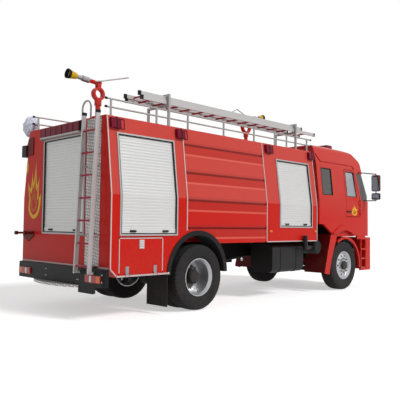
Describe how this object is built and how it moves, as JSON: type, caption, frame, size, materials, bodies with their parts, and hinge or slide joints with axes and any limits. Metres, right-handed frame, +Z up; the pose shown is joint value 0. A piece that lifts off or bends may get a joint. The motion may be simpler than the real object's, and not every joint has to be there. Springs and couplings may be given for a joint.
{
  "type": "fire engine",
  "caption": "Two-axle fire engine with a crew cab, water tank body, roller shutters, roof ladder and water monitors on the roof.",
  "frame": {"origin": "on the ground at the middle of the overall length and width", "axes": "+X forward, +Y to the left, +Z up"},
  "size_m": [7.954, 3.19, 3.8098],
  "materials": {
    "red_paint": "gloss",
    "dark_red_paint": "satin",
    "body_panels": "gloss",
    "black_paint": "satin",
    "chassis_paint": "satin",
    "castings": "rough",
    "rim_paint": "satin",
    "tyre_rubber": "matt",
    "black_rubber": "matt",
    "bare_aluminium": "satin",
    "shutter_slats": "satin",
    "window_glass": "gloss",
    "lamp_lens": "gloss",
    "clear_lens": "gloss",
    "seat_cloth": "matt",
    "grey_plastic": "matt",
    "yellow_paint": "gloss",
    "white_wrap": "matt"
  },
  "bodies": {
    "chassis": {"chassis_frame": "chassis_paint", "driveline": "castings", "front_axle": "castings", "rear_axle": "castings", "leaf_springs": "castings", "front_bumper": "red_paint", "headlamps": "clear_lens", "cab_steps": "bare_aluminium", "front_mudguards": "dark_red_paint", "fuel_tank": "chassis_paint", "battery_box": "chassis_paint", "air_cleaner": "black_paint", "rear_module": "body_panels", "tank_module": "body_panels", "front_module": "body_panels", "roller_shutters": "shutter_slats", "rear_mudguards": "black_rubber", "rear_bumper": "black_paint", "tail_lamps": "lamp_lens", "warning_lamps": "lamp_lens", "tail_fittings": "dark_red_paint", "rear_ladder": "bare_aluminium", "roof_rails": "bare_aluminium", "roof_ladder": "bare_aluminium", "monitor_bases": "red_paint", "search_lamp": "white_wrap"},
    "cab": {"cab_shell": "red_paint", "cab_roof": "body_panels", "front_grille": "black_paint", "cab_glass": "window_glass", "seats": "seat_cloth", "dashboard": "grey_plastic", "mirrors": "dark_red_paint", "sun_visor": "grey_plastic", "beacon_bar": "lamp_lens"},
    "locker_flap_left": {"locker_flap_left": "red_paint"},
    "steering_knuckle_left": {"knuckle_left": "castings"},
    "front_wheel_left": {"front_tyre_left": "tyre_rubber", "front_rim_left": "rim_paint"},
    "rear_wheels_left": {"rear_tyres_left": "tyre_rubber", "rear_rims_left": "rim_paint"},
    "cab_door_left": {"door_left": "red_paint", "door_glass_left": "window_glass"},
    "locker_flap_right": {"locker_flap_right": "red_paint"},
    "steering_knuckle_right": {"knuckle_right": "castings"},
    "front_wheel_right": {"front_tyre_right": "tyre_rubber", "front_rim_right": "rim_paint"},
    "rear_wheels_right": {"rear_tyres_right": "tyre_rubber", "rear_rims_right": "rim_paint"},
    "cab_door_right": {"door_right": "red_paint", "door_glass_right": "window_glass"},
    "rear_monitor_head": {"rear_monitor_swivel": "red_paint"},
    "rear_monitor_nozzle": {"rear_monitor_barrel": "yellow_paint"},
    "front_monitor_head": {"front_monitor_swivel": "red_paint"},
    "front_monitor_nozzle": {"front_monitor_barrel": "yellow_paint"}
  },
  "joints": [
    {"name": "cab_tilt", "type": "hinge", "parent": "chassis", "child": "cab", "pos_m": [3.825, 0, 1.12], "axis": [0, 1, 0], "range_deg": [0, 50]},
    {"name": "door_left", "type": "hinge", "parent": "cab", "child": "cab_door_left", "pos_m": [3.346, 1.252, 1.68], "axis": [0, 0, -1], "range_deg": [0, 70]},
    {"name": "steer_left", "type": "hinge", "parent": "chassis", "child": "steering_knuckle_left", "pos_m": [2.745, 0.98, 0.53], "axis": [0, 0, 1], "range_deg": [-35, 35]},
    {"name": "front_wheel_left", "type": "hinge", "parent": "steering_knuckle_left", "child": "front_wheel_left", "pos_m": [2.745, 1.05, 0.53], "axis": [0, 1, 0], "continuous": true},
    {"name": "rear_wheels_left", "type": "hinge", "parent": "chassis", "child": "rear_wheels_left", "pos_m": [-1.755, 0.925, 0.53], "axis": [0, 1, 0], "continuous": true},
    {"name": "locker_flap_left", "type": "hinge", "parent": "chassis", "child": "locker_flap_left", "pos_m": [-2.972, 1.257, 0.658], "axis": [-1, 0, 0], "range_deg": [0, 90]},
    {"name": "door_right", "type": "hinge", "parent": "cab", "child": "cab_door_right", "pos_m": [3.346, -1.252, 1.68], "axis": [0, 0, 1], "range_deg": [0, 70]},
    {"name": "steer_right", "type": "hinge", "parent": "chassis", "child": "steering_knuckle_right", "pos_m": [2.745, -0.98, 0.53], "axis": [0, 0, 1], "range_deg": [-35, 35]},
    {"name": "front_wheel_right", "type": "hinge", "parent": "steering_knuckle_right", "child": "front_wheel_right", "pos_m": [2.745, -1.05, 0.53], "axis": [0, 1, 0], "continuous": true},
    {"name": "rear_wheels_right", "type": "hinge", "parent": "chassis", "child": "rear_wheels_right", "pos_m": [-1.755, -0.925, 0.53], "axis": [0, 1, 0], "continuous": true},
    {"name": "locker_flap_right", "type": "hinge", "parent": "chassis", "child": "locker_flap_right", "pos_m": [-2.972, -1.257, 0.658], "axis": [1, 0, 0], "range_deg": [0, 90]},
    {"name": "rear_monitor_turn", "type": "hinge", "parent": "chassis", "child": "rear_monitor_head", "pos_m": [-3.445, -0.76, 3.1], "axis": [0, 0, 1], "range_deg": [-170, 170]},
    {"name": "rear_monitor_lift", "type": "hinge", "parent": "rear_monitor_head", "child": "rear_monitor_nozzle", "pos_m": [-3.445, -0.76, 3.43], "axis": [0, 1, 0], "range_deg": [-15, 45]},
    {"name": "front_monitor_turn", "type": "hinge", "parent": "chassis", "child": "front_monitor_head", "pos_m": [0.805, 0, 3.24], "axis": [0, 0, 1], "range_deg": [-170, 170]},
    {"name": "front_monitor_lift", "type": "hinge", "parent": "front_monitor_head", "child": "front_monitor_nozzle", "pos_m": [0.805, 0, 3.64], "axis": [0, -1, 0], "range_deg": [-15, 60]}
  ],
  "couplings": [
    {"joint": "steer_right", "follows": "steer_left", "ratio": 1}
  ]
}
